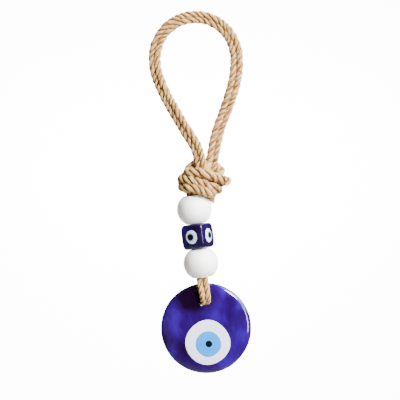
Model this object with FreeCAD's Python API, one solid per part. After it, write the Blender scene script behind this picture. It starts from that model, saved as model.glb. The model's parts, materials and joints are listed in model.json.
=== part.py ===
"""Hanging evil eye ornament: a rope loop and knot, three beads and a glass disc on a cord.

Frame: the origin is the point that the ornament hangs from, on the inside of the loop's top.
+X is to the right, -Y to the front and +Z up.  Millimetres.  Three pieces of the stack have a
frame of their own, whose Z is the leaning line of the bead holes.
"""
import FreeCAD, Part
import math
import os

from FreeCAD import Matrix, Placement, Rotation, Vector

os.makedirs("parts", exist_ok=True)

# ---- driving dimensions -------------------------------------------------------------------
ROPE_D = 5.4                  # twisted jute rope
LEAN = 7.0                    # degrees that the bead stack leans, its lower end to the right

LOOP_ROUTE = [                # hanging loop, from the knot up the left leg and down the right
    (3.0, -1.8, -73.5), (1.6, -1.6, -63.8), (-4.3, -1.2, -55.0), (-10.3, -0.7, -45.0),
    (-16.4, -0.2, -34.0), (-20.6, 0.1, -23.0), (-20.3, 0.2, -12.1), (-14.9, 0.1, -2.7),
    (-5.4, 0.0, 2.75), (5.4, 0.0, 2.75), (14.9, 0.1, -2.7), (20.3, 0.2, -12.1),
    (20.8, 0.1, -23.3), (18.6, 0.3, -34.2), (14.7, 0.8, -45.0), (11.0, 1.3, -55.0),
    (9.0, 1.6, -64.5), (7.6, 1.8, -73.5)]
SIDE_END_ROUTE = [(8.0, -2.2, -77.6), (12.4, -3.4, -78.6), (16.0, -5.6, -79.4)]
REAR_END_ROUTE = [(8.6, 2.2, -78.6), (8.9, 5.6, -82.8), (7.3, 8.3, -88.6)]

KNOT_CENTRE = Vector(2.7, 0.0, -77.2)
KNOT_SEMI_AXES = (11.6, 8.6, 8.3)

BEAD_CENTRE = Vector(2.7, 0.0, -120.3)    # middle of the lower bead, origin of the stack frame
BEAD_R = 8.7
BEAD_H = 14.2
BEAD_GAP = 0.1                # between one bead and the next
BEAD_END_R = 4.7              # flat ring round each end of a bead
BORE_R = 3.7
MOUTH_R = 4.8                 # flared lower mouth of the lower bead, where the cord swings
MOUTH_H = 3.4
MOUTH_RING = 0.5
EDGE_ROUND = 0.4

CUBE_W = 12.4
CUBE_H = 12.6
CUBE_EDGE_R = 2.4
CUBE_TUMBLE_R = 9.15          # sphere that the cube's corners are tumbled to
CUBE_TURN = -29.0             # degrees about the stack line
CUBE_FACES = {"front": -90.0, "right": 0.0, "back": 90.0, "left": 180.0}
CUBE_EYE_R = {"white": 3.6, "blue": 2.7, "pupil": 1.75}
CUBE_EYE_DEPTH = {"white": 1.2, "blue": 0.8, "pupil": 0.4}
CUBE_EYE_PROUD = 0.15

BEAD_CORD_R = 3.3             # the two rope strands, squeezed together in the bores
HOLE_DROP = 18.64             # from the lower bead's middle down to the disc's hole
STRAND_W = 6.0                # a strand flattened against the glass: its width and depth
STRAND_T = 3.0
BEND_R = 3.85                 # middle line of the strand where it turns through the hole
BEND_LOW = 0.2                # its lowest point, below the hole's middle
LEG_CORNER_Z = 8.2            # above the hole's middle: where a leg starts to lean inwards
LEG_END = (1.7, 13.4)        # a leg's upper end in the bead: across and above the hole's middle
LEG_CORNER_R = 6.0
BEAD_CORD_END_Z = 15.3

DISC_R = 22.4
DISC_HOLE_OFFSET = Vector(0.3, 0.0, -14.0)    # from the hole's middle to the disc's middle
DISC_BACK = 2.1               # flat back face
DISC_FRONT = 2.6              # crown of the domed front face
DISC_SHOULDER = 1.95          # front face where the round rim starts
RIM_R = 2.05
HOLE_R = 3.2
HOLE_ROUND = 0.5
DISC_EYE = {                  # radius, middle (x, z) from the disc's middle, depth of back face
    "white": (11.5, (0.85, -7.05), 1.3),
    "blue": (6.7, (1.15, -7.8), 1.85),
    "pupil": (1.75, (1.45, -7.75), 2.2)}

UP = Vector(0, 0, 1)
FRONT_TO_BACK = Vector(0, 1, 0)
STACK = Placement(BEAD_CENTRE, Rotation(FRONT_TO_BACK, -LEAN))
HOLE_CENTRE = STACK.multVec(Vector(0, 0, -HOLE_DROP))
PENDANT = Placement(HOLE_CENTRE, Rotation(FRONT_TO_BACK, -LEAN))


def export(name, shape, placement=None):
    """Write one sub-part, moved from its own frame to the ornament's."""
    placed = shape.copy()
    if placement is not None:
        placed = placed.transformed(placement.toMatrix())
    if not placed.isValid():
        raise ValueError(name + " is not a valid solid")
    placed.exportStep("parts/" + name + ".step")
    box = placed.BoundBox
    print(f"{name:24s} solids {len(placed.Solids)}  volume {placed.Volume:9.1f} mm3  "
          f"x {box.XMin:7.2f} {box.XMax:7.2f}  y {box.YMin:6.2f} {box.YMax:6.2f}  "
          f"z {box.ZMin:8.2f} {box.ZMax:8.2f}")


# ---- rope ---------------------------------------------------------------------------------
def route_wire(route, label):
    """Straight runs joined by tangent arcs, each as large as its two runs allow."""
    points = [Vector(*point) for point in route]
    edges = []
    radii = []
    start = points[0]
    for before, corner, after in zip(points, points[1:], points[2:]):
        back = (before - corner).normalize()
        ahead = (after - corner).normalize()
        half_turn = (math.pi - back.getAngle(ahead)) / 2
        reach = 0.45 * min((before - corner).Length, (after - corner).Length)
        radius = reach / math.tan(half_turn)
        centre = corner + (back + ahead).normalize() * (radius / math.cos(half_turn))
        arc_start = corner + back * reach
        arc_end = corner + ahead * reach
        arc_mid = centre + (corner - centre).normalize() * radius
        edges.append(Part.LineSegment(start, arc_start).toShape())
        edges.append(Part.Arc(arc_start, arc_mid, arc_end).toShape())
        radii.append(radius)
        start = arc_end
    edges.append(Part.LineSegment(start, points[-1]).toShape())
    print(f"{label}: length {Part.Wire(edges).Length:.1f} mm, arc radii "
          + " ".join(f"{radius:.0f}" for radius in radii))
    return Part.Wire(edges)


def sweep(path, section, area):
    """Sweep a closed section along a path and compare the volume with area times length."""
    solid = path.makePipeShell([section], True, False)
    print(f"  swept volume / section x length = {solid.Volume / (area * path.Length):.4f}")
    return solid


def rope_tube(route, label):
    """A round rope along a route."""
    path = route_wire(route, label)
    start, second = Vector(*route[0]), Vector(*route[1])
    circle = Part.Wire(Part.Circle(start, second - start, ROPE_D / 2).toShape())
    return sweep(path, circle, math.pi * ROPE_D ** 2 / 4)


def knot():
    """The outer shape of the rope's tight knot."""
    stretch = Matrix()
    stretch.scale(*KNOT_SEMI_AXES)
    ball = Part.makeSphere(1.0).transformGeometry(stretch)
    ball.translate(KNOT_CENTRE)
    return ball


def bead_cord():
    """The two squeezed strands through the bores, from inside the knot to above the pendant."""
    top = (KNOT_CENTRE.z - BEAD_CENTRE.z) / math.cos(math.radians(LEAN))
    bottom = BEAD_CORD_END_Z - HOLE_DROP
    return Part.makeCylinder(BEAD_CORD_R, top - bottom, Vector(0, 0, bottom), UP)


def pendant_cord():
    """One strand down in front of the disc, back through its hole and up behind it."""
    bend_z = BEND_R - BEND_LOW
    end_y, end_z = LEG_END
    lean = math.atan2(BEND_R - end_y, end_z - LEG_CORNER_Z)
    reach = LEG_CORNER_R * math.tan(lean / 2)
    low = Vector(0, BEND_R, LEG_CORNER_Z - reach)
    high = Vector(0, BEND_R - reach * math.sin(lean), LEG_CORNER_Z + reach * math.cos(lean))
    arc_centre = Vector(0, BEND_R - LEG_CORNER_R, low.z)
    middle = arc_centre + Vector(0, math.cos(lean / 2), math.sin(lean / 2)) * LEG_CORNER_R

    def front(point):
        return Vector(point.x, -point.y, point.z)

    foot = Vector(0, BEND_R, bend_z)
    end = Vector(0, end_y, end_z)
    path = Part.Wire([
        Part.LineSegment(front(end), front(high)).toShape(),
        Part.Arc(front(high), front(middle), front(low)).toShape(),
        Part.LineSegment(front(low), front(foot)).toShape(),
        Part.Arc(front(foot), Vector(0, 0, -BEND_LOW), foot).toShape(),
        Part.LineSegment(foot, low).toShape(),
        Part.Arc(low, middle, high).toShape(),
        Part.LineSegment(high, end).toShape()])
    print(f"pendant_cord: length {path.Length:.1f} mm, radii {BEND_R} and {LEG_CORNER_R}")
    oval = Part.Ellipse(Vector(0, 0, 0), STRAND_W / 2, STRAND_T / 2).toShape()
    oval.rotate(Vector(0, 0, 0), Vector(1, 0, 0), -math.degrees(lean))
    oval.translate(front(end))
    return sweep(path, Part.Wire(oval), math.pi * STRAND_W * STRAND_T / 4)


# ---- beads --------------------------------------------------------------------------------
def revolve_about_z(points_and_arcs):
    """Turn a closed outline in the XZ half-plane about Z."""
    face = Part.Face(Part.Wire([edge.toShape() for edge in points_and_arcs]))
    return face.revolve(Vector(0, 0, 0), UP, 360)


def round_bead(mouth_r=BORE_R, mouth_h=0.0):
    """A turned bead with flat rings round its hole; the lower mouth may be flared."""
    half = BEAD_H / 2

    def at(radius, height):
        return Vector(radius, 0, height)

    low_ring = max(BEAD_END_R, mouth_r + MOUTH_RING)
    outline = [
        Part.LineSegment(at(BEAD_END_R, half), at(BORE_R, half)),
        Part.LineSegment(at(BORE_R, half), at(BORE_R, mouth_h - half))]
    if mouth_h:
        outline.append(Part.LineSegment(at(BORE_R, mouth_h - half), at(mouth_r, -half)))
    outline += [
        Part.LineSegment(at(mouth_r, -half), at(low_ring, -half)),
        Part.Arc(at(low_ring, -half), at(BEAD_R, 0), at(BEAD_END_R, half))]
    bead = revolve_about_z(outline)
    mouths = [edge for edge in bead.Edges
              if isinstance(edge.Curve, Part.Circle)
              and abs(abs(edge.Curve.Center.z) - half) < 1e-6
              and edge.Curve.Radius in (BORE_R, mouth_r)]
    return bead.makeFillet(EDGE_ROUND, mouths)


def cube_blank():
    """The glass cube with rounded upright edges, tumbled corners and its bore."""
    half = CUBE_W / 2
    box = Part.makeBox(CUBE_W, CUBE_W, CUBE_H, Vector(-half, -half, -CUBE_H / 2))
    upright = [edge for edge in box.Edges if abs(edge.tangentAt(edge.FirstParameter).z) > 0.9]
    body = box.makeFillet(CUBE_EDGE_R, upright).common(Part.makeSphere(CUBE_TUMBLE_R))
    return body.cut(Part.makeCylinder(BORE_R, CUBE_H + 2, Vector(0, 0, -CUBE_H / 2 - 1), UP))


def cube_eye_plug(layer, angle):
    """The round plug of one eye layer, set into the face that looks along an angle."""
    outward = Vector(math.cos(math.radians(angle)), math.sin(math.radians(angle)), 0)
    foot = outward * (CUBE_W / 2 - CUBE_EYE_DEPTH[layer])
    height = CUBE_EYE_DEPTH[layer] + CUBE_EYE_PROUD
    return Part.makeCylinder(CUBE_EYE_R[layer], height, foot, outward)


def cube_eye(angle):
    """White ring, pale blue ring and black pupil of one face, each let into the one below."""
    white, blue, pupil = (cube_eye_plug(layer, angle) for layer in ("white", "blue", "pupil"))
    return {"white": white.cut(blue), "blue": blue.cut(pupil), "pupil": pupil}


# ---- glass disc ---------------------------------------------------------------------------
def disc_blank():
    """The poured disc: flat back, low dome in front and a round rim, about Y."""
    flat_r = DISC_R - RIM_R
    back_edge = Vector(flat_r, DISC_BACK, 0)
    front_edge = Vector(flat_r, -DISC_SHOULDER, 0)
    tip = Vector(DISC_R, (DISC_BACK - DISC_SHOULDER) / 2, 0)
    dome_h = DISC_FRONT - DISC_SHOULDER
    dome_r = (flat_r ** 2 + dome_h ** 2) / (2 * dome_h)
    halfway = flat_r / 2
    dome_drop = dome_r - math.sqrt(dome_r ** 2 - halfway ** 2)
    outline = [
        Part.LineSegment(Vector(0, DISC_BACK, 0), back_edge),
        Part.Arc(back_edge, tip, front_edge),
        Part.Arc(front_edge, Vector(halfway, dome_drop - DISC_FRONT, 0), Vector(0, -DISC_FRONT, 0)),
        Part.LineSegment(Vector(0, -DISC_FRONT, 0), Vector(0, DISC_BACK, 0))]
    face = Part.Face(Part.Wire([edge.toShape() for edge in outline]))
    return face.revolve(Vector(0, 0, 0), FRONT_TO_BACK, 360)


def disc_eye_pocket(layer):
    """A round cutter from one eye layer's back face out past the front of the disc."""
    radius, (x, z), back = DISC_EYE[layer]
    return Part.makeCylinder(radius, DISC_FRONT, Vector(x, -back, z), -FRONT_TO_BACK)


def disc_pieces():
    """The disc with its hole, and the three eye layers let into its face."""
    blank = disc_blank()
    white, blue, pupil = (disc_eye_pocket(layer) for layer in ("white", "blue", "pupil"))
    drill_start = -DISC_HOLE_OFFSET - FRONT_TO_BACK * (2 * DISC_FRONT)
    drilled = blank.cut(Part.makeCylinder(HOLE_R, 4 * DISC_FRONT, drill_start, FRONT_TO_BACK))
    mouths = [edge for edge in drilled.Edges
              if HOLE_R < edge.BoundBox.XLength < 3 * HOLE_R and edge.BoundBox.ZLength > HOLE_R]
    body = drilled.makeFillet(HOLE_ROUND, mouths)
    return {"glass_disc": body.cut(white), "disc_eye_white": blank.common(white).cut(blue),
            "disc_eye_blue": blank.common(blue).cut(pupil), "disc_eye_pupil": blank.common(pupil)}


# ---- the ornament -------------------------------------------------------------------------
export("hanging_loop", rope_tube(LOOP_ROUTE, "hanging_loop"))
export("knot", knot())
export("side_rope_end", rope_tube(SIDE_END_ROUTE, "side_rope_end"))
export("rear_rope_end", rope_tube(REAR_END_ROUTE, "rear_rope_end"))
export("bead_cord", bead_cord(), STACK)

cube_rise = (BEAD_H + CUBE_H) / 2 + BEAD_GAP
upper_placement = STACK * Placement(Vector(0, 0, 2 * cube_rise), Rotation())
cube_placement = STACK * Placement(Vector(0, 0, cube_rise), Rotation(UP, CUBE_TURN))
export("upper_bead", round_bead(), upper_placement)
export("lower_bead", round_bead(MOUTH_R, MOUTH_H), STACK)

cube = cube_blank()
for face_name, face_angle in CUBE_FACES.items():
    cube = cube.cut(cube_eye_plug("white", face_angle))
    for layer_name, layer_shape in cube_eye(face_angle).items():
        export(face_name + "_eye_" + layer_name, layer_shape, cube_placement)
export("cube_bead", cube, cube_placement)

export("pendant_cord", pendant_cord(), PENDANT)
disc_placement = Placement(HOLE_CENTRE + DISC_HOLE_OFFSET, Rotation())
for piece_name, piece_shape in disc_pieces().items():
    export(piece_name, piece_shape, disc_placement)

mouth_centre = STACK.multVec(Vector(0, 0, -BEAD_H / 2))
for label, point in (("upper bead", upper_placement.Base), ("cube bead", cube_placement.Base),
                     ("lower bead", BEAD_CENTRE), ("mouth", mouth_centre), ("hole", HOLE_CENTRE)):
    print(f"{label}: ({point.x:.3f}, {point.y:.3f}, {point.z:.3f})")
print("stack line", STACK.Rotation.multVec(UP), "across it", STACK.Rotation.multVec(Vector(1, 0, 0)))
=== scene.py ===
"""Looks of the hanging evil eye ornament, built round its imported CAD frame.

Lengths are millimetres in the named values and metres in Blender (MM turns one into the other).
"""
import json
import math

import bpy
import numpy as np
from mathutils import Matrix, Vector, noise


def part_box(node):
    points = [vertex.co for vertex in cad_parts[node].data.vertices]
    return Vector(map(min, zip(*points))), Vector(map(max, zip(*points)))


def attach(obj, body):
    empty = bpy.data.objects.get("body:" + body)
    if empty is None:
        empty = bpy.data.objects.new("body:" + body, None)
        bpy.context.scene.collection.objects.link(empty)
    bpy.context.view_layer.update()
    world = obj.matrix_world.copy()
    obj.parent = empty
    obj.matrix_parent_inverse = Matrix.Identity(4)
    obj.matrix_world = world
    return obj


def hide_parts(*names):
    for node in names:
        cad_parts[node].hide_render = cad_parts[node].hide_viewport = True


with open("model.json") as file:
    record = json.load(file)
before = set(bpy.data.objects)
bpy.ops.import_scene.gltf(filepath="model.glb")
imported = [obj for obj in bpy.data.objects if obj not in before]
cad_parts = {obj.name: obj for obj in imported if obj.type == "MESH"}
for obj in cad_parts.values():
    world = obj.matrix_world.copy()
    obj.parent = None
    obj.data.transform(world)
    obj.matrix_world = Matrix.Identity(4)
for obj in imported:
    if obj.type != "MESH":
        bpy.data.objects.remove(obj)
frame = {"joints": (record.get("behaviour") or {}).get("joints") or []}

MM = 0.001
TAU = 2 * math.pi
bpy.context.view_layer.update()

# ---- driving dimensions --------------------------------------------------------------------
LEAN = math.radians(7.0)
LOOP_ROUTE = [
    (3.0, -1.8, -73.5), (1.6, -1.6, -63.8), (-4.3, -1.2, -55.0), (-10.3, -0.7, -45.0),
    (-16.4, -0.2, -34.0), (-20.6, 0.1, -23.0), (-20.3, 0.2, -12.1), (-14.9, 0.1, -2.7),
    (-5.4, 0.0, 2.75), (5.4, 0.0, 2.75), (14.9, 0.1, -2.7), (20.3, 0.2, -12.1),
    (20.8, 0.1, -23.3), (18.6, 0.3, -34.2), (14.7, 0.8, -45.0), (11.0, 1.3, -55.0),
    (9.0, 1.6, -64.5), (7.6, 1.8, -73.5)]
SIDE_END_ROUTE = [(8.0, -2.2, -77.6), (12.4, -3.4, -78.6), (16.0, -5.6, -79.4)]
REAR_END_ROUTE = [(8.6, 2.2, -78.6), (8.9, 5.6, -82.8), (7.3, 8.3, -88.6)]

# One rope makes the whole knot: over the right shoulder, behind the legs, over the left
# shoulder, and then three turns that run down to the right across the front.
KNOT_ROUTE = [
    (9.2, -1.2, -79.0), (13.2, 0.2, -75.6), (11.4, 3.2, -72.2), (6.0, 5.4, -70.6),
    (1.2, 4.6, -69.8), (-1.9, 2.8, -72.0), (-4.2, -0.6, -75.3), (-3.1, -4.6, -75.3),
    (0.6, -6.1, -74.9), (5.4, -6.2, -75.8), (10.2, -5.0, -77.5), (13.4, -1.3, -79.6),
    (12.2, 2.8, -80.0), (7.0, 5.7, -79.6), (1.6, 6.1, -78.6), (-3.8, 4.6, -77.8),
    (-7.0, 1.0, -78.0), (-6.6, -3.0, -78.4), (-2.9, -5.5, -78.9), (0.7, -6.0, -79.6),
    (4.2, -6.1, -80.8), (8.2, -5.6, -82.5), (11.8, -2.4, -83.0), (10.8, 1.6, -83.6),
    (6.4, 5.0, -83.6), (1.4, 5.8, -83.2), (-3.8, 4.6, -82.4), (-6.5, 1.0, -82.1),
    (-6.2, -2.8, -82.3), (-3.2, -5.6, -82.7), (0.6, -6.8, -83.3), (4.8, -6.8, -84.5),
    (8.2, -4.6, -85.4), (8.4, -0.6, -85.0), (5.0, 1.4, -83.0)]
LEFT_CORE_ROUTE = [(3.0, -1.8, -73.5), (2.6, -1.9, -78.0), (0.6, -1.7, -82.5), (-0.9, -1.6, -86.6)]
INNER_CORE_ROUTE = [(5.0, 1.6, -70.6), (5.3, 0.6, -72.6), (5.2, 0.2, -76.0)]
OUTER_CORE_ROUTE = [(-3.6, 2.2, -76.0), (-6.2, 1.2, -78.6), (-6.3, 0.4, -81.2), (-3.6, 0.8, -83.4)]
RIGHT_CORE_ROUTE = [(7.6, 1.8, -73.5), (6.4, 1.9, -78.0), (2.2, 1.7, -82.5), (-0.9, 1.6, -86.6)]

CORD_R = 1.85                 # each of the loop's two cords
PAIR_HALF = 1.45              # half the distance between their middles
KNOT_CORD_R = 2.5
CORE_CORD_R = 2.9             # the rope inside the knot
END_CORD_R = 2.6
BORE_CORD_R = 1.62            # each of the four cords in the beads
PENDANT_CORD_R = 1.52         # each of the two cords that hold the disc
HOLE_CORD_R = 2.0             # the part of them that fills the disc's hole
STRANDS = 3                   # strands in a cord, laid right-handed
LAY = 5.6                     # length of one full turn of a strand, in cord radii
KNOT_LAY = 4.5
STRAND_MID, STRAND_OUT, STRAND_ROUND = 0.52, 0.48, 0.56    # a strand's section, in cord radii
YARNS = 5                     # yarns on a strand, twisted the other way
YARN_TURN = 0.7               # radians per millimetre
YARN_DEPTH = 0.18
STEP = 0.4                    # between the rings of a strand's mesh
RING = 24                     # points round a strand

BEAD_R, BEAD_H, BEAD_BORE = 8.7, 14.2, 3.7
LOWER_MOUTH = 4.5             # where the cords that hold the disc come out of the lower bead
CUBE_W, CUBE_H, CUBE_EYE_R = 12.6, 12.6, 3.6
CUBE_TURN = math.radians(-29.0)
HOLE_R, HOLE_LIP = 2.6, 1.5   # the hole's waist, and how far its lip rounds out
DISC_R, DISC_FRONT, DISC_BACK = 22.6, 2.6, 2.1    # radius, and how far its faces stand out

# The layers of the disc's eye: radius, and the middle's x and z from the disc's middle.
DISC_EYE = {"white": (11.5, 0.85, -7.05), "blue": (6.7, 1.15, -7.8), "pupil": (1.75, 1.45, -7.75)}

# ---- places, read from the frame -----------------------------------------------------------
JOINTS = {joint["name"]: joint for joint in frame["joints"]}


def joint_place(name):
    return Vector(JOINTS[name]["pos_m"])


STACK_TILT = Matrix.Rotation(-LEAN, 4, "Y")
UPPER = Matrix.Translation(joint_place("upper_bead_spin")) @ STACK_TILT
CUBE = (Matrix.Translation(joint_place("cube_bead_spin")) @ STACK_TILT
        @ Matrix.Rotation(CUBE_TURN, 4, "Z"))
LOWER = Matrix.Translation(joint_place("lower_bead_spin")) @ STACK_TILT
PENDANT = Matrix.Translation(joint_place("disc_rock")) @ STACK_TILT
HOLE = joint_place("disc_rock")
disc_low, disc_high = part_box("glass_disc")
DISC_MID = (disc_low + disc_high) / 2
DISC_MID.y = 0


# ---- node materials ------------------------------------------------------------------------
class Nodes:
    """A short way to write a node material."""

    def __init__(self, name):
        self.material = bpy.data.materials.new(name)
        self.material.use_nodes = True
        self.tree = self.material.node_tree
        self.shader = self.tree.nodes["Principled BSDF"]

    def add(self, kind, inputs=None, **settings):
        node = self.tree.nodes.new("ShaderNode" + kind)
        for key, value in settings.items():
            setattr(node, key, value)
        for key, value in (inputs or {}).items():
            self.put(node, key, value)
        return node

    def put(self, node, key, value):
        if isinstance(value, bpy.types.NodeSocket):
            self.tree.links.new(value, node.inputs[key])
        else:
            node.inputs[key].default_value = value

    def set(self, **values):
        for key, value in values.items():
            self.put(self.shader, key.replace("_", " "), value)

    def noise(self, vector, scale, detail=3.0, roughness=0.5):
        node = self.add("TexNoise", {"Vector": vector, "Scale": scale, "Detail": detail,
                                     "Roughness": roughness})
        return node.outputs["Fac"]

    def ramp(self, value, *stops):
        node = self.add("ValToRGB", {"Fac": value})
        elements = node.color_ramp.elements
        while len(elements) < len(stops):
            elements.new(0.5)
        for element, (place, colour) in zip(elements, stops):
            element.position = place
            element.color = (*colour, 1.0) if hasattr(colour, "__len__") else (colour,) * 3 + (1.0,)
        return node.outputs["Color"]

    def mix(self, factor, one, two, blend="MIX"):
        node = self.add("Mix", data_type="RGBA", blend_type=blend)
        for key, value in ((0, factor), (6, one), (7, two)):
            is_colour = isinstance(value, tuple) and len(value) == 3
            self.put(node, key, (*value, 1.0) if is_colour else value)
        return node.outputs[2]

    def maths(self, operation, *values):
        node = self.add("Math", operation=operation)
        for index, value in enumerate(values):
            self.put(node, index, value)
        return node.outputs[0]

    def bump(self, height, strength, distance):
        node = self.add("Bump", {"Height": height, "Strength": strength, "Distance": distance * MM})
        self.put(self.shader, "Normal", node.outputs["Normal"])


def jute_material():
    """Twisted jute: fibre streaks along the yarns, warm patches, and painted shade
    between the strands, darker the deeper a point lies.
    """
    m = Nodes("jute")
    uv = m.add("UVMap", uv_map="lay").outputs["UV"]
    place = m.add("TexCoord").outputs["Object"]
    fibre_space = m.add("Mapping", {"Vector": uv, "Scale": (22.0, 0.8, 1.0)}).outputs["Vector"]
    fibres = m.noise(fibre_space, 1.0, 4.0, 0.65)
    fleck_space = m.add("Mapping", {"Vector": uv, "Scale": (5.0, 0.45, 1.0)}).outputs["Vector"]
    flecks = m.noise(fleck_space, 1.0, 2.0, 0.5)
    patches = m.noise(place, 150.0, 2.0, 0.5)
    yellowing = m.noise(place, 90.0, 1.0, 0.5)
    colour = m.ramp(fibres, (0.28, (0.145, 0.066, 0.018)), (0.46, (0.315, 0.170, 0.052)),
                    (0.68, (0.54, 0.345, 0.130)))
    colour = m.mix(m.ramp(patches, (0.44, 0.0), (0.66, 0.5)), colour, (0.36, 0.165, 0.075))
    colour = m.mix(m.ramp(yellowing, (0.50, 0.0), (0.66, 0.4)), colour, (0.42, 0.30, 0.075))
    colour = m.mix(m.ramp(flecks, (0.33, 0.9), (0.46, 0.0)), colour, (0.10, 0.046, 0.014))
    colour = m.mix(m.ramp(flecks, (0.56, 0.0), (0.70, 0.7)), colour, (0.68, 0.49, 0.26))
    # Painted shade: the deeper a point lies between the strands, the darker its colour.
    depth = m.add("Attribute", attribute_name="depth", attribute_type="GEOMETRY").outputs["Fac"]
    shade = m.ramp(depth, (0.46, (0.12, 0.06, 0.02)), (0.70, (0.62, 0.52, 0.42)), (0.88, 1.0))
    colour = m.mix(1.0, colour, shade, "MULTIPLY")
    m.set(Base_Color=colour, Roughness=0.82, Specular_IOR_Level=0.2)
    m.bump(m.maths("ADD", fibres, m.maths("MULTIPLY", flecks, 0.8)), 0.6, 0.25)
    return m.material


def fibre_material():
    m = Nodes("loose_fibre")
    place = m.add("TexCoord").outputs["Object"]
    tone = m.noise(place, 300.0, 1.0)
    m.set(Base_Color=m.ramp(tone, (0.35, (0.34, 0.20, 0.085)), (0.65, (0.66, 0.50, 0.28))),
          Roughness=0.8, Specular_IOR_Level=0.2)
    return m.material


def painted_wood_material():
    """Matt white paint over turned wood, with the faintest grain and mottling."""
    m = Nodes("painted_wood")
    place = m.add("TexCoord").outputs["Object"]
    grain_space = m.add("Mapping", {"Vector": place, "Scale": (900.0, 900.0, 120.0)}).outputs["Vector"]
    grain = m.noise(grain_space, 1.0, 4.0, 0.55)
    mottle = m.noise(place, 170.0, 3.0, 0.5)
    colour = m.mix(m.ramp(mottle, (0.35, 0.0), (0.7, 1.0)), (0.86, 0.85, 0.835), (0.80, 0.785, 0.77))
    m.set(Base_Color=colour, Specular_IOR_Level=0.35,
          Roughness=m.maths("ADD", 0.42, m.maths("MULTIPLY", mottle, 0.16)))
    m.bump(m.maths("ADD", grain, m.maths("MULTIPLY", mottle, 1.5)), 0.12, 0.12)
    return m.material


def coloured_glass_material(name, dark, mid, bright, streak_scale, transmission, zones=(),
                            roughness=0.05, specular=0.28):
    """Poured coloured glass, with streaks where the pour folded.  A zone is a place in
    millimetres, its reach, and how much lighter (or darker, if negative) the colour is painted
    there; on the disc some zones are painted light and shade."""
    fold = 0.012
    m = Nodes(name)
    place = m.add("TexCoord").outputs["Object"]
    bend = m.add("TexNoise", {"Vector": place, "Scale": 60.0, "Detail": 2.0}).outputs["Color"]
    push = m.add("VectorMath", {0: bend, 3: fold}, operation="SCALE").outputs[0]
    folded = m.add("VectorMath", {0: place, 1: push}, operation="ADD").outputs[0]
    stretched = m.add("Mapping", {"Vector": folded, "Rotation": (0.0, 0.6, 0.0),
                                  "Scale": (1.0, 1.0, 0.45)}).outputs["Vector"]
    tone = m.noise(stretched, streak_scale, 4.0, 0.6)
    for where, reach, weight in zones:
        pushed = Vector(where) + Vector((fold, fold, fold)) / 2
        distance = m.add("VectorMath", {0: folded, 1: pushed}, operation="DISTANCE").outputs["Value"]
        near = m.add("MapRange", {"Value": distance, "From Min": 0.0, "From Max": reach * MM,
                                  "To Min": weight, "To Max": 0.0}, interpolation_type="SMOOTHSTEP")
        tone = m.maths("ADD", tone, near.outputs[0])
    colour = m.ramp(tone, (0.20, dark), (0.50, mid), (0.76, bright))
    m.set(Base_Color=colour, Roughness=roughness, IOR=1.45, Specular_IOR_Level=specular,
          Transmission_Weight=transmission)
    m.bump(m.noise(place, 230.0, 2.0, 0.5), 0.10, 0.5)
    return m.material


def opaque_glass_material(name, colour, other):
    """Opaque fused glass with a faint cloudiness."""
    m = Nodes(name)
    place = m.add("TexCoord").outputs["Object"]
    cloud = m.noise(place, 420.0, 3.0, 0.55)
    m.set(Base_Color=m.mix(m.ramp(cloud, (0.35, 0.0), (0.7, 1.0)), colour, other),
          Roughness=0.10, Specular_IOR_Level=0.25)
    m.bump(cloud, 0.05, 0.1)
    return m.material


def backdrop_material():
    m = Nodes("backdrop")
    place = m.add("TexCoord").outputs["Object"]
    tone = m.noise(place, 6.0, 2.0)
    m.set(Base_Color=m.mix(tone, (0.93, 0.93, 0.93), (0.96, 0.96, 0.96)), Roughness=0.9)
    return m.material


JUTE = jute_material()
FIBRE = fibre_material()
WOOD = painted_wood_material()

# Lighter and darker places in the disc's glass: where (from its middle), reach, and how much.
# Some are the glass's own uneven colour; the lighter places by the upper right rim are painted
# light that comes through the rim, and the darker ones round the hole are painted shade.
DISC_TONE_AND_LIGHT_ZONES = [((-4.5, 15.5), 13.0, -0.26), ((-3.5, 11.0), 7.0, -0.12),
              ((-10.5, -9.5), 10.0, -0.22), ((-5.0, -17.0), 8.0, -0.14), ((15.0, 3.0), 9.0, -0.2),
              ((18.2, -7.0), 6.0, -0.1), ((-16.5, 2.5), 10.0, 0.24), ((-16.0, -13.5), 8.0, 0.3),
              ((8.0, 20.5), 6.0, 0.18), ((17.5, 12.5), 5.0, 0.12), ((9.0, 12.0), 8.0, -0.18),
              ((15.0, -6.5), 4.0, 0.12), ((9.0, -17.5), 9.0, 0.2)]
COBALT_TONES = ((0.003, 0.0, 0.006), (0.0105, 0.0, 0.056), (0.019, 0.0, 0.16))
DISC_TONE_AND_LIGHT_PLACES = [(DISC_MID + Vector((x, 0.0, z)) * MM, reach, weight)
                    for (x, z), reach, weight in DISC_TONE_AND_LIGHT_ZONES]
COBALT = coloured_glass_material("cobalt_glass", *COBALT_TONES, 90.0, 0.04, DISC_TONE_AND_LIGHT_PLACES)
COBALT_BACK = coloured_glass_material("cobalt_glass_back", *COBALT_TONES, 90.0, 0.04,
                                      DISC_TONE_AND_LIGHT_PLACES, roughness=0.3, specular=0.04)
NAVY = coloured_glass_material("navy_glass", (0.003, 0.001, 0.008), (0.005, 0.001, 0.022),
                               (0.010, 0.001, 0.075), 160.0, 0.05)
WHITE_GLASS = opaque_glass_material("white_glass", (0.55, 0.53, 0.68), (0.48, 0.50, 0.63))
PALE_GLASS = opaque_glass_material("pale_glass", (0.24, 0.46, 0.62), (0.18, 0.38, 0.52))
SKY_GLASS = opaque_glass_material("sky_glass", (0.001, 0.17, 0.52), (0.001, 0.145, 0.47))
BLACK_GLASS = opaque_glass_material("black_glass", (0.0015, 0.002, 0.003), (0.003, 0.004, 0.005))


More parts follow.
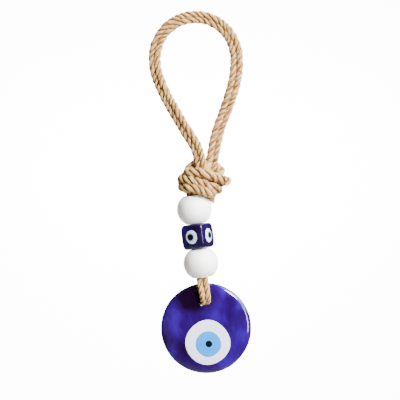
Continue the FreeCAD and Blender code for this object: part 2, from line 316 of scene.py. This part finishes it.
# ---- mesh helpers --------------------------------------------------------------------------
def new_object(name, points, faces, material, smooth=True):
    mesh = bpy.data.meshes.new(name)
    mesh.from_pydata([tuple(p) for p in points], [], faces)
    mesh.validate()
    mesh.update()
    mesh.polygons.foreach_set("use_smooth", [smooth] * len(mesh.polygons))
    mesh.materials.append(material)
    obj = bpy.data.objects.new(name, mesh)
    bpy.context.scene.collection.objects.link(obj)
    return obj


def grid_faces(rows, columns, start=0, close_rows=False):
    """Quads of a grid whose columns close into rings."""
    faces = []
    for row in range(rows if close_rows else rows - 1):
        this, following = start + row * columns, start + (row + 1) % rows * columns
        for column in range(columns):
            beside = (column + 1) % columns
            faces.append((this + column, this + beside, following + beside, following + column))
    return faces


def add_piece(obj, body, slot, *nodes):
    """A finished piece: puts it on its body and hides the CAD nodes it stands for; slot is not used.
    """
    if nodes:
        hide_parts(*nodes)
    if body:
        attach(obj, body)
    return obj


# ---- rope ----------------------------------------------------------------------------------
def spline_points(route, matrix=Matrix.Identity(4)):
    """Points along the NURBS spline whose control points are the route, in metres."""
    curve = bpy.data.curves.new("route", "CURVE")
    curve.dimensions = "3D"
    curve.resolution_u = 24
    spline = curve.splines.new("NURBS")
    spline.points.add(len(route) - 1)
    for point, corner in zip(spline.points, route):
        point.co = (*(matrix @ (Vector(corner) * MM)), 1.0)
    spline.order_u = 3
    spline.use_endpoint_u = True
    holder = bpy.data.objects.new("route", curve)
    mesh = bpy.data.meshes.new_from_object(holder)
    points = np.array([vertex.co for vertex in mesh.vertices], float)
    bpy.data.objects.remove(holder)
    bpy.data.meshes.remove(mesh)
    return points


def even_points(points, step):
    """The same line with points a steady step apart, and each point's distance along it."""
    spans = np.linalg.norm(np.diff(points, axis=0), axis=1)
    along = np.concatenate([[0.0], np.cumsum(spans)])
    places = np.linspace(0.0, along[-1], max(8, round(along[-1] / step)))
    even = np.stack([np.interp(places, along, points[:, axis]) for axis in range(3)], axis=1)
    return even, places


def carried_frames(points, across):
    """A cross direction carried along the line without twist, and the one square to it."""
    tangents = np.gradient(points, axis=0)
    tangents /= np.linalg.norm(tangents, axis=1)[:, None]
    first = np.array(across, float)
    normals = []
    for tangent in tangents:
        first = first - tangent * first.dot(tangent)
        first = first / np.linalg.norm(first)
        normals.append(first)
    normals = np.array(normals)
    return tangents, normals, np.cross(tangents, normals)


def steady_noise(values, rate, seed):
    """Smooth values between about -1 and 1 along a line."""
    return np.array([noise.noise((value * rate, seed * 3.7, 0.5)) for value in values])


def single(route, matrix=Matrix.Identity(4)):
    return [even_points(spline_points(route, matrix), STEP * MM)[0]]


def side_by_side(route, half, angles, matrix=Matrix.Identity(4), across=(0.0, 1.0, 0.0)):
    """Two lines that run along a route, each half a gap from it.  The angles, given at even
    shares of its length, turn the pair about it: at 0 it lies in the cross direction."""
    line, along = even_points(spline_points(route, matrix), STEP * MM)
    _, normals, others = carried_frames(line, across)
    share = along / along[-1]
    turn = np.radians(np.interp(share, np.linspace(0, 1, len(angles)), angles))
    halves = np.interp(share, np.linspace(0, 1, len(half)), half)
    offset = (normals * np.cos(turn)[:, None] + others * np.sin(turn)[:, None]) * halves[:, None] * MM
    return [even_points(line + offset, STEP * MM)[0], even_points(line - offset, STEP * MM)[0]]


def twisted_cords(name, lines, radius, turn=0.0, cut_end=False, across=(0.0, 1.0, 0.0), seed=0,
                  lay=LAY, deep=(1.0, 1.0)):
    """Three twisted strands round each line, all as one mesh.  At even shares of the length,
    deep stretches the section square to the cross direction."""
    points, faces, uvs, depths = [], [], [], []
    angles = np.linspace(0.0, TAU, RING, endpoint=False)
    for number, line in enumerate(lines):
        _, normals, others = carried_frames(line, across)
        steps = np.linalg.norm(np.diff(line, axis=0), axis=1)
        millimetres = np.concatenate([[0.0], np.cumsum(steps)]) / MM
        key = seed + 11.0 * number

        # The noise lets the cord's girth, its lay and each strand's thickness wander.
        deeper = np.interp(millimetres / millimetres[-1], np.linspace(0, 1, len(deep)), deep)
        girth = radius * (1.0 + 0.06 * steady_noise(millimetres, 0.11, key))
        if cut_end:
            left = millimetres[-1] - millimetres
            girth = girth * (1.0 - 0.25 * np.clip(1.0 - left / 0.8, 0.0, 1.0) ** 2)
        lay_turns = millimetres / (lay * radius) + 0.22 * steady_noise(millimetres, 0.13, key + 1)
        for strand in range(STRANDS):
            lay_angle = turn + 0.9 * number + TAU * (strand / STRANDS + lay_turns)
            swell = 1.0 + 0.2 * steady_noise(millimetres, 0.34, key + 2.3 * strand + 4)
            yarn = np.abs(np.cos(0.5 * YARNS * (angles[None, :] - YARN_TURN * millimetres[:, None]
                                                + strand)))
            relief = swell[:, None] * (1.0 - YARN_DEPTH * (1.0 - yarn) ** 2)
            outward = STRAND_MID + STRAND_OUT * np.cos(angles)[None, :] * relief
            sideways = STRAND_ROUND * np.sin(angles)[None, :] * relief
            cosine, sine = np.cos(lay_angle)[:, None], np.sin(lay_angle)[:, None]
            a = (outward * cosine - sideways * sine) * girth[:, None] * MM
            b = (outward * sine + sideways * cosine) * (girth * deeper)[:, None] * MM
            rings = (line[:, None, :] + normals[:, None, :] * a[:, :, None]
                     + others[:, None, :] * b[:, :, None])
            start = sum(len(block) for block in points)
            points.append(rings.reshape(-1, 3))
            faces += grid_faces(len(line), RING, start)
            last = start + (len(line) - 1) * RING
            faces.append(tuple(range(start + RING - 1, start - 1, -1)))
            faces.append(tuple(range(last, last + RING)))
            depths.append(np.hypot(outward, sideways).reshape(-1))
            uv = np.stack(np.broadcast_arrays(
                (angles[None, :] - YARN_TURN * millimetres[:, None]) / TAU,
                millimetres[:, None] + 40.0 * strand + 7.0 * key), axis=2)
            uvs.append(uv.reshape(-1, 2))
    obj = new_object(name, np.concatenate(points), faces, JUTE)
    write_rope_data(obj.data, np.concatenate(uvs), np.concatenate(depths))
    return obj


def write_rope_data(mesh, uv, depth):
    """The lay coordinates of every corner, and how far out of its cord each point is, from which
    the jute material paints shade between the strands.
    """
    layer = mesh.uv_layers.new(name="lay")
    corners = np.zeros(len(mesh.loops), int)
    mesh.loops.foreach_get("vertex_index", corners)
    per_corner = uv[corners].copy()
    sizes = np.zeros(len(mesh.polygons), int)
    mesh.polygons.foreach_get("loop_total", sizes)
    quads = np.repeat(sizes == 4, sizes)
    first = np.repeat(per_corner[np.cumsum(sizes) - sizes], sizes, axis=0)
    wrapped = np.round(per_corner[:, 0] - first[:, 0])
    per_corner[:, 0] -= np.where(quads, wrapped, 0.0)
    layer.data.foreach_set("uv", per_corner.astype(np.float32).reshape(-1))
    attribute = mesh.attributes.new("depth", "FLOAT", "POINT")
    attribute.data.foreach_set("value", depth.astype(np.float32))


def fibre(points, faces, base, heading, out, length, lift, thickness):
    """One thin bent fibre, a tapering three-sided thread."""
    parts, corners = 5, 3
    side = np.cross(heading, out)
    start = len(points)
    for part in range(parts):
        share = part / (parts - 1)
        centre = base + heading * length * share + out * lift * length * share ** 1.6
        narrow = thickness * (1.0 - 0.7 * share)
        points += [centre + side * narrow, centre - side * narrow * 0.5 + out * narrow,
                   centre - side * narrow * 0.5 - out * narrow]
    tip = len(points) - corners
    faces += grid_faces(parts, corners, start)
    faces += [(start + 2, start + 1, start), (tip, tip + 1, tip + 2)]


def loose_fibres(name, lines, per_line, radius, seed, tuft=0):
    """Short stray fibres that stand off the cords, and a tuft of them at a cut end."""
    random = np.random.default_rng(seed)
    points, faces = [], []
    for line in lines:
        tangents, normals, others = carried_frames(line, (0.0, 1.0, 0.0))
        for _ in range(per_line):
            index = random.integers(2, len(line) - 2)
            angle = random.uniform(0.0, TAU)
            out = normals[index] * math.cos(angle) + others[index] * math.sin(angle)
            side = np.cross(tangents[index], out)
            heading = tangents[index] * random.choice((-1.0, 1.0)) + side * random.normal(0.0, 0.6)
            heading /= np.linalg.norm(heading)
            fibre(points, faces, line[index] + out * radius * 0.84 * MM, heading, out,
                  random.uniform(0.9, 2.6) * MM, random.uniform(0.1, 0.6),
                  random.uniform(0.03, 0.055) * MM)
        for _ in range(tuft):
            angle, reach = random.uniform(0.0, TAU), math.sqrt(random.uniform(0.02, 0.8))
            out = normals[-1] * math.cos(angle) + others[-1] * math.sin(angle)
            fibre(points, faces, line[-1] + (out * radius * reach - tangents[-1] * 0.4) * MM,
                  tangents[-1], out, random.uniform(0.9, 1.9) * MM, random.uniform(0.0, 0.5),
                  random.uniform(0.08, 0.14) * MM)
    return new_object(name, points, faces, FIBRE)


def build_rope():
    """Loop, knot, cut ends, the cords in the bores and the ones that hold the disc."""
    pair_angles = (68, 62, 66, 85, 100, 92, 84, 80)
    pair_halves = np.full(len(pair_angles), PAIR_HALF)
    pair_halves[5] *= 1.1    # the cords part a little on the right leg
    loop_line = spline_points(LOOP_ROUTE)
    pair = side_by_side(LOOP_ROUTE, pair_halves, pair_angles)
    loop = add_piece(twisted_cords("loop_rope", pair, CORD_R), "rope", "jute_rope", "hanging_loop")
    knot_line = single(KNOT_ROUTE)
    core_lines = (single(LEFT_CORE_ROUTE) + single(RIGHT_CORE_ROUTE) + single(INNER_CORE_ROUTE)
                  + single(OUTER_CORE_ROUTE))
    side_line, rear_line = single(SIDE_END_ROUTE), single(REAR_END_ROUTE)
    add_piece(twisted_cords("knot_rope", knot_line, KNOT_CORD_R, turn=0.6, seed=3, lay=KNOT_LAY),
          "rope", "jute_rope", "knot")
    add_piece(twisted_cords("knot_core", core_lines, CORE_CORD_R, seed=4), "rope", "jute_rope")
    add_piece(twisted_cords("side_cut_end", side_line, END_CORD_R, turn=1.2, cut_end=True, seed=5),
          "rope", "jute_rope", "side_rope_end")
    add_piece(twisted_cords("rear_cut_end", rear_line, END_CORD_R, turn=2.0, cut_end=True, seed=6),
          "rope", "jute_rope", "rear_rope_end")
    add_piece(loose_fibres("loop_fibres", pair, 240, CORD_R, 11), "rope", "jute_rope")
    add_piece(loose_fibres("knot_fibres", knot_line, 330, KNOT_CORD_R, 12), "rope", "jute_rope")
    add_piece(loose_fibres("end_fibres", side_line + rear_line, 20, END_CORD_R, 13, tuft=210), "rope",
          "jute_rope")
    build_bore_cord()
    build_pendant_cord()


def build_bore_cord():
    """The four cords, squeezed together, through the three bores."""
    top, bottom, out = 41.5, -2.6, BORE_CORD_R
    lines = []
    for x, y in ((-out, -out), (out, -out), (out, out), (-out, out)):
        lines += single([(x, y, top), (0.98 * x, y, (top + bottom) / 2), (x, y, bottom)], LOWER)
    add_piece(twisted_cords("bore_rope", lines, BORE_CORD_R, seed=8), "rope", "jute_rope", "bead_cord")


def build_pendant_cord():
    """Two cords down the front of the disc, back through its hole and up behind it."""
    rear = [(-0.3, 1.65, 13.2), (-0.3, 2.1, 11.3), (-0.15, 3.6, 8.0), (0.0, 4.1, 4.6),
            (0.1, 3.7, 0.9), (0.0, 1.7, -0.85)]
    front = [(x, -y, z) for x, y, z in rear]

    # From the bead down to the hole; the way up behind the disc is the same in reverse.
    halves, angles, deep = (1.4, 1.45, 1.45, 1.4, 1.25), (0, 8, 0, -5, 0), (1.0, 1.0, 1.0, 1.0, 1.15)
    half_at_hole, deep_at_hole, across = 1.0, 1.45, (1.0, 0.0, 0.0)
    pair = side_by_side(front + rear[::-1], (*halves, half_at_hole, *halves[::-1]),
                        (*angles, 0, *angles[::-1]), PENDANT, across)
    cord = twisted_cords("pendant_rope", pair, PENDANT_CORD_R, turn=0.4, across=across, seed=9,
                         deep=(*deep, deep_at_hole, *deep[::-1]))
    add_piece(cord, "pendant", "jute_rope", "pendant_cord")
    inside = single([(0.0, -3.2, 0.2), (0.0, -1.2, -0.5), (0.0, 1.2, -0.5), (0.0, 3.2, 0.2)], PENDANT)
    add_piece(twisted_cords("hole_rope", inside, HOLE_CORD_R, seed=15), "pendant", "jute_rope")
    add_piece(loose_fibres("pendant_fibres", pair, 60, 1.5, 14), "pendant", "jute_rope")


# ---- beads ---------------------------------------------------------------------------------
def lathe(name, profile, matrix, material, columns=96, wobble=0.0, seed=0.0):
    """Turn an (r, z) outline about Z; the outline closes on itself."""
    points = []
    for r, z in profile:
        for column in range(columns):
            angle = TAU * column / columns
            direction = Vector((math.cos(angle), math.sin(angle), 0.0))
            swell = 1.0 + wobble * noise.noise(direction * 1.3 + Vector((seed, seed, z * 0.12)))
            points.append(matrix @ ((direction * (r * swell) + Vector((0.0, 0.0, z))) * MM))
    faces = grid_faces(len(profile), columns, close_rows=True)
    return new_object(name, points, faces, material)


def round_bead(name, matrix, mouth, seed):
    """A turned bead: a full round side, soft shoulders and rounded mouths to its bore, which
    widens to its lower mouth."""
    fullness, tall, lip, funnel = 2.04, 8.3, 0.4, 3.4

    def mouth_arc(end, bore):
        return [(bore + lip - lip * math.sin(turn), end * (BEAD_H / 2 - lip + lip * math.cos(turn)))
                for turn in (math.radians(15 * k) for k in range(7))]

    outline = []
    for step in range(41):
        height = -1.0 + step / 20
        z = height * (BEAD_H / 2 - 0.12)
        r = BEAD_R * (1.0 - abs(z / tall) ** fullness) ** (1.0 / fullness)
        outline.append((r, z))
    outline += mouth_arc(1.0, BEAD_BORE)
    outline.append((BEAD_BORE, funnel - BEAD_H / 2))
    outline += mouth_arc(-1.0, mouth)[::-1]
    return lathe(name, outline[::-1], matrix, WOOD, wobble=0.012, seed=seed)


def soft_box_point(direction, half, power):
    """A point of a rounded box in a given direction."""
    scale = sum(abs(d / h) ** power for d, h in zip(direction, half)) ** (-1.0 / power)
    return direction * scale


def cube_bead():
    """The tumbled glass cube: a rounded box with fuller faces and a round bore."""
    half = (CUBE_W / 2, CUBE_W / 2, CUBE_H / 2)
    columns, rows, squareness, taper, lip = 128, 56, 10.0, 0.08, 0.4
    angles = [TAU * column / columns for column in range(columns)]
    first_polar = math.atan2(BEAD_BORE + lip + 0.1, half[2])
    rings = []
    for row in range(rows):
        polar = first_polar + (math.pi - 2 * first_polar) * row / (rows - 1)
        ring = []
        for angle in angles:
            direction = Vector((math.sin(polar) * math.cos(angle), math.sin(polar) * math.sin(angle),
                                math.cos(polar)))
            point = soft_box_point(direction, half, squareness)
            narrow = 1.0 - taper * abs(point.z / half[2]) ** 2.5
            ring.append(Vector((point.x * narrow, point.y * narrow, point.z)))
        rings.append(ring)
    for end, turns in ((-1.0, (30, 60, 90)), (1.0, (90, 60, 30))):
        for turn in (math.radians(degrees) for degrees in turns):
            r = BEAD_BORE + lip * (1.0 - math.sin(turn))
            z = end * (half[2] - lip * (1.0 - math.cos(turn)))
            rings.append([Vector((r * math.cos(angle), r * math.sin(angle), z)) for angle in angles])
    points = [CUBE @ (point * MM) for ring in rings for point in ring]
    faces = [face[::-1] for face in grid_faces(len(rings), columns, close_rows=True)]
    return new_object("cube_glass", points, faces, NAVY)


def build_beads():
    upper = round_bead("upper_white_bead", UPPER, BEAD_BORE, 1.0)
    add_piece(upper, "upper_bead", "white_wood", "upper_bead")
    lower = round_bead("lower_white_bead", LOWER, LOWER_MOUTH, 2.0)
    add_piece(lower, "lower_bead", "white_wood", "lower_bead")
    add_piece(cube_bead(), "cube_bead", "navy_glass", "cube_bead")


def cube_dome(x, y):
    """How proud of its face a cube eye stands at a place from the eye's middle."""
    return 0.22 * (1.0 - (x * x + y * y) / CUBE_EYE_R ** 2)


def cube_eye_layer(name, matrix, radius, shift, lift, material, oval=0.03, columns=72):
    """One glass layer of a cube eye: it follows the common dome, its edge sunk into the one below."""
    shares, root = [0.2, 0.4, 0.6, 0.75, 0.86, 0.93, 0.97, 1.0], -0.6
    points = [Vector((shift[0], shift[1], cube_dome(*shift) + lift))]
    for share in shares:
        for column in range(columns):
            angle = TAU * column / columns
            edge = radius * (1.0 - oval * math.cos(2 * angle) + 0.3 * oval * math.cos(3 * angle))
            x, y = shift[0] + edge * share * math.cos(angle), shift[1] + edge * share * math.sin(angle)
            sink = (lift + 0.08) * max(0.0, (share - 0.86) / 0.14) ** 2
            points.append(Vector((x, y, cube_dome(x, y) + lift - sink)))
    points += [Vector((p.x, p.y, root)) for p in points[-columns:]]
    points.append(Vector((shift[0], shift[1], root)))
    last = len(points) - 1
    faces = [(0, 1 + c, 1 + (c + 1) % columns) for c in range(columns)]
    faces += [face[::-1] for face in grid_faces(len(shares) + 1, columns, 1)]
    faces += [(last, last - columns + (c + 1) % columns, last - columns + c) for c in range(columns)]
    return new_object(name, [matrix @ (p * MM) for p in points], faces, material)


def build_cube_eyes():
    """White, pale blue and black glass on each of the cube's four faces.  In an eye's own plane
    +X is down and +Y is to the right of someone who looks at the face."""
    off_centre = {"front": -0.55, "right": 0.95, "back": -0.4, "left": 0.5}

    # Radius, share of the shift off centre, height over the dome, material and slot.
    layers = (("white", CUBE_EYE_R, 0.0, 0.02, WHITE_GLASS, "white_glass"),
              ("blue", 2.5, 0.25, 0.07, PALE_GLASS, "pale_glass"),
              ("pupil", 1.85, 1.0, 0.12, BLACK_GLASS, "black_glass"))
    for face, degrees in (("front", -90), ("right", 0), ("back", 90), ("left", 180)):
        outward = Matrix.Rotation(math.radians(degrees), 4, "Z") @ Matrix.Rotation(math.pi / 2, 4, "Y")
        lift = Matrix.Translation((0.0, 0.0, (CUBE_W / 2 - 0.08) * MM))
        for layer, radius, share, height, material, slot in layers:
            eye = cube_eye_layer(f"{face}_{layer}", CUBE @ outward @ lift, radius,
                                 (0.0, share * off_centre[face]), height, material)
            add_piece(eye, "cube_bead", slot, f"{face}_eye_{layer}")


# ---- glass disc ----------------------------------------------------------------------------
def rim_reach(angle):
    """The disc's radius, which wanders a little as on a hand-poured disc."""
    return DISC_R * (1.0 + 0.006 * noise.noise((2.0 * math.cos(angle), 2.0 * math.sin(angle), 3.0)))


def rim_share(x, z):
    return min(1.0, math.hypot(x, z) / rim_reach(math.atan2(z, x)))


def front_face(x, z):
    """Depth of the disc's gently domed and rippled front at a place measured from its middle."""
    share = rim_share(x, z)
    broad = noise.noise((x * 0.13, 0.0, z * 0.13))
    fine = noise.noise((x * 0.31, 5.0, z * 0.31))
    ripple = 0.09 * broad + 0.04 * fine
    return -DISC_FRONT * math.sqrt(1.0 - share ** 5) + ripple * (1.0 - share ** 8)


def back_face(x, z):
    return DISC_BACK * math.sqrt(1.0 - rim_share(x, z) ** 16)


def glass_disc():
    """Rings that grow from the hole's lip to the rim make both faces; the hole's wall joins them.
    The back has a duller glass, up to the last few rings before the rim."""
    hole_x, hole_z = (HOLE - DISC_MID).x / MM, (HOLE - DISC_MID).z / MM
    columns, rings, rim_rings = 192, 48, 6
    angles = [TAU * column / columns for column in range(columns)]
    lip = HOLE_R + HOLE_LIP

    def face_ring(step, face):
        share = 1.0 - (1.0 - step / rings) ** 2
        ring = []
        for angle in angles:
            along, up = math.cos(angle), math.sin(angle)
            x = (hole_x + lip * along) * (1 - share) + rim_reach(angle) * along * share
            z = (hole_z + lip * up) * (1 - share) + rim_reach(angle) * up * share
            ring.append(Vector((x, face(x, z), z)))
        return ring

    def wall_ring(degrees, face, direction):
        inset, sink = HOLE_LIP * math.sin(math.radians(degrees)), 1 - math.cos(math.radians(degrees))
        ring = []
        for angle in angles:
            along, up = math.cos(angle), math.sin(angle)
            edge = face(hole_x + lip * along, hole_z + lip * up)
            ring.append(Vector((hole_x + (lip - inset) * along, edge + direction * sink,
                                hole_z + (lip - inset) * up)))
        return ring

    turns = (15, 30, 45, 60, 75, 90)
    ordered = [face_ring(step, front_face) for step in range(rings + 1)]
    ordered += [face_ring(step, back_face) for step in range(rings - 1, -1, -1)]
    ordered += [wall_ring(turn, back_face, -1.0) for turn in turns]
    ordered += [wall_ring(turn, front_face, 1.0) for turn in turns[::-1]]
    points = [DISC_MID + point * MM for ring in ordered for point in ring]
    disc = new_object("cobalt_disc", points, grid_faces(len(ordered), columns, close_rows=True),
                      COBALT)
    disc.data.materials.append(COBALT_BACK)
    first_back, last_back = (rings + rim_rings) * columns, 2 * rings * columns
    for polygon in disc.data.polygons[first_back:last_back]:
        polygon.material_index = 1
    return disc


def disc_layer(name, key, lift, bulge, material, wave, columns=128):
    """One fused layer of the disc's eye, following the dome and a little proud of it."""
    radius, mid_x, mid_z = DISC_EYE[key]
    root = 0.5
    shares = [k / 16 for k in range(1, 15)] + [0.93, 0.97, 0.99, 1.0]
    points = [Vector((mid_x, front_face(mid_x, mid_z) - lift - bulge, mid_z))]
    for share in shares:
        for c in range(columns):
            angle = TAU * c / columns
            edge = radius * (1.0 + wave * math.cos(4 * angle + 0.3)
                             + 0.6 * wave * math.cos(3 * angle + 1.1))
            x, z = mid_x + edge * share * math.cos(angle), mid_z + edge * share * math.sin(angle)
            sink = (lift + 0.12) * max(0.0, (share - 0.93) / 0.07) ** 2
            points.append(Vector((x, front_face(x, z) - lift - bulge * (1 - share ** 2) + sink, z)))
    points += [Vector((p.x, p.y + root, p.z)) for p in points[-columns:]]
    points.append(Vector((mid_x, front_face(mid_x, mid_z) + root, mid_z)))
    last = len(points) - 1
    faces = [(0, 1 + c, 1 + (c + 1) % columns) for c in range(columns)]
    faces += [face[::-1] for face in grid_faces(len(shares) + 1, columns, 1)]
    faces += [(last, last - columns + (c + 1) % columns, last - columns + c) for c in range(columns)]
    return new_object(name, [DISC_MID + p * MM for p in points], faces, material)


def build_disc():
    add_piece(glass_disc(), "disc", "cobalt_glass", "glass_disc")
    add_piece(disc_layer("eye_white", "white", 0.04, 0.10, WHITE_GLASS, 0.012), "disc", "white_glass",
          "disc_eye_white")
    add_piece(disc_layer("eye_blue", "blue", 0.16, 0.04, SKY_GLASS, 0.01), "disc", "sky_glass",
          "disc_eye_blue")
    add_piece(disc_layer("eye_pupil", "pupil", 0.24, 0.02, BLACK_GLASS, 0.01), "disc", "black_glass",
          "disc_eye_pupil")


# ---- stage, light and camera ---------------------------------------------------------------
def build_stage():
    """A pale floor that curves up into a backdrop."""
    floor_z, wall_y, bend, half_width = -0.55, 1.5, 0.35, 1.6
    front_y, top_z = -1.4, 1.6
    profile = [(front_y, floor_z)]
    for turn in (math.radians(9 * k) for k in range(11)):
        profile.append((wall_y - bend + bend * math.sin(turn), floor_z + bend - bend * math.cos(turn)))
    profile.append((wall_y, top_z))
    points = [Vector((x, y, z)) for y, z in profile for x in (-half_width, half_width)]
    faces = [(2 * k, 2 * k + 1, 2 * k + 3, 2 * k + 2) for k in range(len(profile) - 1)]
    new_object("floor", points, faces, backdrop_material())


def area_light(name, spot, target, size, power, colour=(1.0, 1.0, 1.0), spread=180.0):
    data = bpy.data.lights.new(name, "AREA")
    data.shape = "RECTANGLE"
    data.size, data.size_y = size
    data.energy = power
    data.color = colour
    data.spread = math.radians(spread)
    light = bpy.data.objects.new(name, data)
    bpy.context.scene.collection.objects.link(light)
    light.location = spot
    light.rotation_euler = (Vector(target) - Vector(spot)).to_track_quat("-Z", "Y").to_euler()


def build_lights():
    world = bpy.data.worlds.new("studio")
    bpy.context.scene.world = world
    world.use_nodes = True
    background = world.node_tree.nodes["Background"]
    background.inputs["Color"].default_value = (1.0, 0.94, 0.88, 1.0)
    background.inputs["Strength"].default_value = 0.12
    middle, wall = (0.0, 0.0, -0.1), (0.0, 1.5, -0.12)
    area_light("key", (0.62, -0.35, 0.48), middle, (0.9, 0.9), 11.5, spread=60.0)
    area_light("glint", (0.42, -0.60, 0.36), middle, (0.17, 0.17), 2.0, spread=50.0)
    area_light("right_strip", (0.60, -0.60, -0.06), middle, (0.10, 0.40), 0.9, spread=50.0)
    area_light("fill", (-0.5, -0.8, -0.2), middle, (1.0, 1.0), 0.25, (1.0, 0.74, 0.52), spread=60.0)
    area_light("back", (-0.3, 0.5, 0.5), middle, (0.4, 0.4), 0.6, spread=50.0)
    area_light("wall_left", (-0.5, 0.75, 0.1), wall, (0.4, 0.4), 27.0, spread=100.0)
    area_light("wall_right", (0.5, 0.75, 0.1), wall, (0.4, 0.4), 27.0, spread=100.0)


def build_camera():
    distance, frame_width, sensor = 1.1, 0.2, 36.0
    middle_x, middle_z = 2.25, -88.75
    data = bpy.data.cameras.new("camera")
    data.sensor_width = sensor
    data.lens = sensor * distance / frame_width
    data.clip_end = 20.0
    camera = bpy.data.objects.new("camera", data)
    bpy.context.scene.collection.objects.link(camera)
    camera.location = (middle_x * MM, -distance, middle_z * MM)
    camera.rotation_euler = (math.pi / 2, 0.0, 0.0)
    bpy.context.scene.camera = camera


build_camera()
build_rope()
build_beads()
build_cube_eyes()
build_disc()
build_stage()
build_lights()
